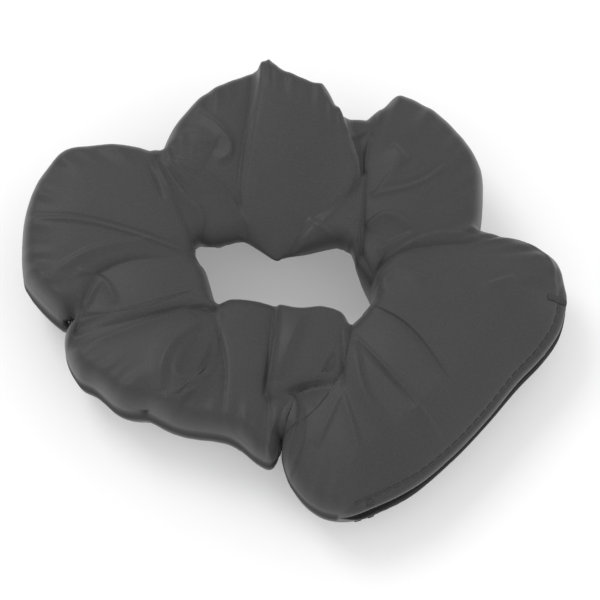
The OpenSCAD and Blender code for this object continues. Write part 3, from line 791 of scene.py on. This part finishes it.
# ------------------------------------------------------ stitches and threads
def capsule(around=8, along=7):
    """A rounded stitch of unit length, width and height lying along x."""
    v, f = [(-0.5, 0, 0)], []
    for i in range(1, along):
        a = math.pi * i / along
        r = math.sin(a) ** 0.55 * 0.5
        for j in range(around):
            b = 2 * math.pi * j / around
            v.append((-0.5 * math.cos(a), r * math.cos(b), r * math.sin(b)))
    v.append((0.5, 0, 0))
    last = len(v) - 1
    for j in range(around):
        k = (j + 1) % around
        f.append((0, 1 + k, 1 + j))
        for i in range(along - 2):
            a, b = 1 + i * around, 1 + (i + 1) * around
            f.append((a + j, a + k, b + k, b + j))
        a = 1 + (along - 2) * around
        f.append((a + j, a + k, last))
    return np.array(v), f


def stitches(name, places, mat):
    """places: centre, direction, up, (length, width, height), all in mm."""
    v0, f0 = capsule()
    verts, faces = [], []
    for c, x, up, size in places:
        x = np.array(x, float) / np.linalg.norm(x)
        y = np.cross(up, x)
        y /= np.linalg.norm(y)
        z = np.cross(x, y)
        base = len(verts) * len(v0)
        verts.append((np.array(c) + (v0 * size) @ np.array([x, y, z])) * MM)
        faces += [tuple(i + base for i in q) for q in f0]
    return mesh_object(name, np.concatenate(verts), faces, mat)


def tube(name, path, radius, mat, closed=False, around=10, profile=None):
    """A thread or band swept along path in mm; profile(s) gives section points across (out, up) in mm."""
    n = len(path)
    tan = np.roll(path, -1, 0) - np.roll(path, 1, 0)
    if not closed:
        tan[0], tan[-1] = path[1] - path[0], path[-1] - path[-2]
    tan /= np.linalg.norm(tan, axis=1)[:, None]
    up = np.array([0, 0, 1.0])
    out = np.cross(tan, up)
    out /= np.linalg.norm(out, axis=1)[:, None]
    upv = np.cross(out, tan)
    if profile is None:
        a = 2 * math.pi * np.arange(around) / around
        sec = np.broadcast_to(np.stack([np.cos(a), np.sin(a)], -1) * radius, (n, around, 2))
    else:
        sec = profile(n)
    k = sec.shape[1]
    v = path[:, None] + sec[..., :1] * out[:, None] + sec[..., 1:] * upv[:, None]
    faces = [tuple(q) for q in grid_faces(n, k, closed, True)]
    if not closed:
        faces += [tuple(range(k))[::-1], tuple((n - 1) * k + i for i in range(k))]
    return mesh_object(name, v.reshape(-1, 3) * MM, faces, mat)


THREAD = plain_material("thread", (0.024, 0.024, 0.0245), (0.036, 0.036, 0.0365), 0.7, scale=5200, bump=0.5,
                        dist=0.00008, sheen=0.05)
ELASTIC = plain_material("elastic_braid", (0.02, 0.02, 0.021), (0.05, 0.05, 0.051), 0.8, scale=2600, bump=0.6,
                         dist=0.0001, sheen=0.1, stretch=(1, 1, 0.35))
LINING = plain_material("lining_cloth", (0.075, 0.075, 0.082), (0.12, 0.12, 0.13), 0.75, scale=3000,
                        bump=0.3, sheen=0.1)
TAPE = plain_material("zip_tape_weave", (0.03, 0.03, 0.033), (0.06, 0.06, 0.065), 0.8, scale=4200, bump=0.5,
                      dist=0.0001, sheen=0.1, stretch=(1, 1, 0.3))
COIL = plain_material("zip_coil_nylon", (0.022, 0.022, 0.024), (0.036, 0.036, 0.038), 0.42, scale=1800)
METAL = plain_material("zip_black_metal", (0.018, 0.018, 0.019), (0.03, 0.03, 0.031), 0.5, scale=1400,
                       bump=0.15)
STOP = plain_material("zip_stop_metal", (0.05, 0.05, 0.052), (0.08, 0.08, 0.083), 0.45, metal=0.6,
                      scale=1400, bump=0.15)


# spacing of the stitches along their row, and their length, width and height, mm
NEEDLE_PITCH, NEEDLE_STITCH = 2.6, (2.1, 0.42, 0.42)
TACK_PITCH, TACK_STITCH = 0.42, (1.7, 0.5, 0.5)
JOIN_STITCH, CLOSING_STITCH = (1.7, 0.3, 0.3), (2.0, 0.36, 0.36)
LEAN = 0.35          # how much the needle rows lean out of the pocket


def needle_row(surface, sign):
    """Stitches along the mouth, on the needle line."""
    _, line = from_edge(surface, NEEDLE_IN)
    use = mouth > 0.6
    line = line[use] + np.array([*SHIFT, 0])
    run = np.concatenate([[0], np.cumsum(np.linalg.norm(np.diff(line, axis=0), axis=1))])
    up = np.array([*(-LEAN * ZIP_Y), sign])
    up /= np.linalg.norm(up)
    places = []
    for s in np.arange(1.6, run[-1] - 1.2, NEEDLE_PITCH):
        c = np.array([np.interp(s, run, line[:, k]) for k in range(3)])
        a = np.array([np.interp(s - 0.8, run, line[:, k]) for k in range(3)])
        b = np.array([np.interp(s + 0.8, run, line[:, k]) for k in range(3)])
        places.append((c + up * 0.1, b - a, up, NEEDLE_STITCH))
    return places


def tack(key, sign, reach=7.0):
    """A bar of close cross stitches over the end of the mouth, running in from the edge."""
    surface = top3 if sign > 0 else bot3
    c = int(key_pos[key])
    s = surface[::-1, c] + np.array([*SHIFT, 0])
    run = np.concatenate([[0], np.cumsum(np.linalg.norm(np.diff(s, axis=0), axis=1))])
    side = np.roll(surface, -3, 1)[::-1, c] - np.roll(surface, 3, 1)[::-1, c]
    places = []
    for a in np.arange(0.8, reach, TACK_PITCH):
        p = np.array([np.interp(a, run, s[:, k]) for k in range(3)])
        d = np.array([np.interp(a, run, side[:, k]) for k in range(3)])
        along = np.array([np.interp(a + 0.5, run, s[:, k]) for k in range(3)]) - p
        up = np.cross(d, along)
        up *= sign * np.sign(up[2]) / np.linalg.norm(up)
        places.append((p + up * 0.12, d, up, TACK_STITCH))
    return places


upper_row = stitches("topstitch_row_upper", needle_row(top3, 1), THREAD)
lower_row = stitches("topstitch_row_lower", needle_row(bot3, -1), THREAD)
tack_closed = stitches("bar_tack_slider_end", tack(LAST - 1, 1) + tack(LAST - 1, -1), THREAD)
tack_open = stitches("bar_tack_stop_end", tack(FIRST + 1, 1, 2.4) + tack(FIRST + 1, -1), THREAD)

# the braided elastic, its ends lapped at the pocket, and the sleeve's long seam
lo, hi = (np.array(v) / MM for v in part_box("elastic_band"))
BAND_C = (lo + hi) / 2
BAND_HALF = 0.45     # room for half the band's thickness and its ribs
BAND_A, BAND_B = (hi[0] - lo[0]) / 2 - BAND_HALF, (hi[1] - lo[1]) / 2 - BAND_HALF
LAP = 0.19           # each end runs past the join by this angle, one outside the other
th = np.linspace(-LAP, 2 * math.pi + LAP, 900)
lap = 0.5 * (1 - smoothstep((th + LAP) / 0.7)) - 0.5 * smoothstep((th - 2 * math.pi + 0.5) / 0.7)
path = np.stack([BAND_C[0] + (BAND_A + lap) * np.cos(th), BAND_C[1] + (BAND_B + lap) * np.sin(th),
                 0 * th + BAND_C[2]], -1)


BRAID_HIGH, BRAID_THICK, BRAID_RIB = 2.95, 0.34, 0.07    # half its height, half its thickness and its ribs


def braid(n):
    """Section of a flat braid with six cords across, each rolling over and under along its length."""
    k = 48           # points round the section
    a = 2 * math.pi * np.arange(k) / k
    up = BRAID_HIGH * np.sign(np.sin(a)) * np.abs(np.sin(a)) ** 0.5
    side = BRAID_THICK * np.sign(np.cos(a)) * np.abs(np.cos(a)) ** 0.6
    s = np.arange(n)[:, None]
    ribs = BRAID_RIB * np.cos(up[None] * 2 * math.pi + 0.55 * s * np.sign(side)[None])
    return np.stack([side[None] + ribs * np.sign(side)[None], np.broadcast_to(up, (n, k))], -1)


band = tube("elastic_braid_loop", path, 0, ELASTIC, profile=braid)
lo, hi = (np.array(v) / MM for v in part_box("elastic_join_stitch"))
places = []
for i in range(4):
    for j in range(3):
        y = lo[1] + (hi[1] - lo[1]) * (i + 0.5) / 4
        z = lo[2] + 0.6 + (hi[2] - lo[2] - 1.2) * j / 2
        x = BAND_C[0] + BAND_A * math.sqrt(max(0, 1 - ((y - BAND_C[1]) / BAND_B) ** 2))
        for side in (-0.98, 0.98):
            slant = 0.6 if j % 2 else -0.6
            places.append(((x + side, y, z), (0.1 * -side, 1, slant), (side, 0, 0), JOIN_STITCH))
join = stitches("elastic_join_stitches", places, THREAD)
lo, hi = (np.array(v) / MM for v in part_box("sleeve_seam_thread"))
c, a, b = (lo + hi) / 2, (hi[0] - lo[0]) / 2 - 0.25, (hi[1] - lo[1]) / 2 - 0.25
th = np.linspace(0, 2 * math.pi, 1800, endpoint=False)
SEAM_WAVES, SEAM_R = 170, 0.16                       # stitches round the loop, and the thread's radius
wig = 0.08 * np.sin(th * SEAM_WAVES)
path = np.stack([c[0] + (a + wig) * np.cos(th), c[1] + (b + wig) * np.sin(th),
                 c[2] + 0.06 * np.cos(th * SEAM_WAVES)], -1)
seam = tube("seam_thread_loop", path, SEAM_R, THREAD, closed=True, around=7)
lo, hi = (np.array(v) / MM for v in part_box("sleeve_closing_stitch"))
places = []
CLOSING_COUNT = 7
for i in range(CLOSING_COUNT):
    t = (i + 0.5) / CLOSING_COUNT
    y = hi[1] + (lo[1] - hi[1]) * t
    x = (lo[0] + hi[0]) / 2 + (hi[0] - lo[0] - 1.4) * (0.5 - t)
    slant = 1.0 if i % 2 else -1.0
    places.append(((x, y, (lo[2] + hi[2]) / 2), (0.5, -0.5, slant), (1, 0, 0), CLOSING_STITCH))
closing = stitches("closing_slip_stitches", places, THREAD)


# ------------------------------------------------------- the pocket's bag
def pocket_bag():
    """A slack flat bag, inside and outside faces, sewn to the tapes along its straight edge."""
    P = np.array([[-29, 7], [29, 7], [29, 18], [22, 26], [4, 28.5], [-20, 25], [-29, 18]], float)
    P = chaikin(P, 3, True)
    run = np.concatenate([[0], np.cumsum(np.linalg.norm(np.roll(P, -1, 0) - P, axis=1))])
    m, n = 160, 22                  # points round the edge, and rows from the middle line to the edge
    line_half, line_y = 18, 15.5    # the middle line's half length, and its place along ZIP_Y
    at = np.linspace(0, run[-1], m, endpoint=False)
    Pc = np.concatenate([P, P[:1]])
    edge = np.stack([np.interp(at, run, Pc[:, k]) for k in range(2)], -1)
    # rows: out over the upper face from the middle line to the edge and back under
    mid = np.stack([np.clip(edge[:, 0], -line_half, line_half), np.full(m, line_y)], -1)
    g = []
    for side in (1, -1):
        for i in range(n):
            u = (i + 0.5) / n if side > 0 else 1 - (i + 0.5) / n
            p = mid * (1 - u) + edge * u
            puff = (1 - u ** 4) ** 0.5
            wave = 0.35 * np.sin(p[:, 0] * 0.55 + side) * np.sin(p[:, 1] * 0.4 + 1)
            z = side * (0.35 + 1.45 * puff + wave * puff)
            g.append(np.stack([p[:, 0], p[:, 1], z], -1))
    g = np.array(g)
    w = np.empty_like(g)
    w[..., :2] = ZIP_C + SHIFT + g[..., :1] * ZIP_X + g[..., 1:2] * ZIP_Y
    w[..., 2] = MID + g[..., 2]
    return w


def bag_mesh(name, g, mat):
    """Closed bag from rows of a ring, capped along the middle line, with an inner face."""
    n, m = g.shape[:2]
    v = g.reshape(-1, 3)

    def cap(first):
        """The middle line at an end of the rows is a slit: its two sides are joined."""
        out = []
        a, b = first, first + m - 1
        while b - a > 2:
            out.append((a, a + 1, b - 1, b))
            a, b = a + 1, b - 1
        return out + ([(a, a + 1, b)] if b - a == 2 else [])

    faces = [tuple(f) for f in grid_faces(n, m, False, True)]
    faces += cap(0) + [q[::-1] for q in cap((n - 1) * m)]
    middle_xy = v.mean(0)[:2]
    inner = v.copy()
    inner[:, 2] = MID + (v[:, 2] - MID) * 0.82
    inner[:, :2] = middle_xy + (v[:, :2] - middle_xy) * 0.985
    faces += [tuple(i + len(v) for i in q[::-1]) for q in faces]
    return mesh_object(name, np.concatenate([v, inner]) * MM, faces, mat)


bag = bag_mesh("pocket_bag", pocket_bag(), LINING)


# ------------------------------------------------------------- bodies
for piece in (sleeve, band, seam):
    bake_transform(piece)
for piece in (upper_row, lower_row, tack_closed, tack_open, join, closing, bag):
    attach(piece, "pocket_side")
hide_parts("puff_pocket", "puff_back_right", "puff_back_kite", "puff_back_left", "puff_left",
            "puff_front_left", "puff_front_mid")
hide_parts("elastic_band")
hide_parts("sleeve_seam_thread")
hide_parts("elastic_join_stitch")
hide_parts("sleeve_closing_stitch")
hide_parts("pocket_lining")
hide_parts("topstitch_upper")
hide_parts("topstitch_lower")
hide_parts("bar_tack_closed_end")
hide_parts("bar_tack_open_end")

for node, mat in (("zip_tape_upper", TAPE), ("zip_tape_lower", TAPE), ("zip_coil_upper", COIL),
                  ("zip_coil_lower", COIL), ("zip_top_stop_upper", STOP), ("zip_top_stop_lower", STOP),
                  ("zip_bottom_stop", STOP), ("zip_slider", METAL), ("zip_pull", METAL)):
    for own in frame["nodes"][node].material_slots:
        own.link = "OBJECT"
        own.material = mat


# --------------------------------------------------------- floor and light
def floor_and_light():
    m, _, b = node_material("floor")
    b.inputs["Base Color"].default_value = (0.7, 0.7, 0.7, 1)
    b.inputs["Emission Color"].default_value = (1, 1, 1, 1)
    b.inputs["Emission Strength"].default_value = 0.24
    b.inputs["Roughness"].default_value = 0.9
    b.inputs["Specular IOR Level"].default_value = 0.1
    r = 3.0          # half the floor's side, metres
    o = mesh_object("floor", [(-r, -r, 0), (r, -r, 0), (r, r, 0), (-r, r, 0)], [(0, 1, 2, 3)], m, smooth=False)

    def area(name, loc, size, power):
        lamp = bpy.data.lights.new(name, "AREA")
        lamp.energy = power
        lamp.size = size
        ob = bpy.data.objects.new(name, lamp)
        ob.location = loc
        ob.rotation_euler = (Vector((0, 0, 0.02)) - Vector(loc)).to_track_quat("-Z", "Y").to_euler()
        bpy.context.scene.collection.objects.link(ob)

    area("key", (-0.45, 0.42, 0.95), 0.4, 3.4)
    area("fill", (0.9, -0.3, 1.1), 1.3, 1.9)
    w = bpy.data.worlds.new("world")
    bpy.context.scene.world = w
    w.use_nodes = True
    bg = w.node_tree.nodes["Background"]
    bg.inputs["Color"].default_value = (1, 1, 1, 1)
    bg.inputs["Strength"].default_value = 0.95
    bpy.context.scene.view_settings.view_transform = "Standard"


floor_and_light()
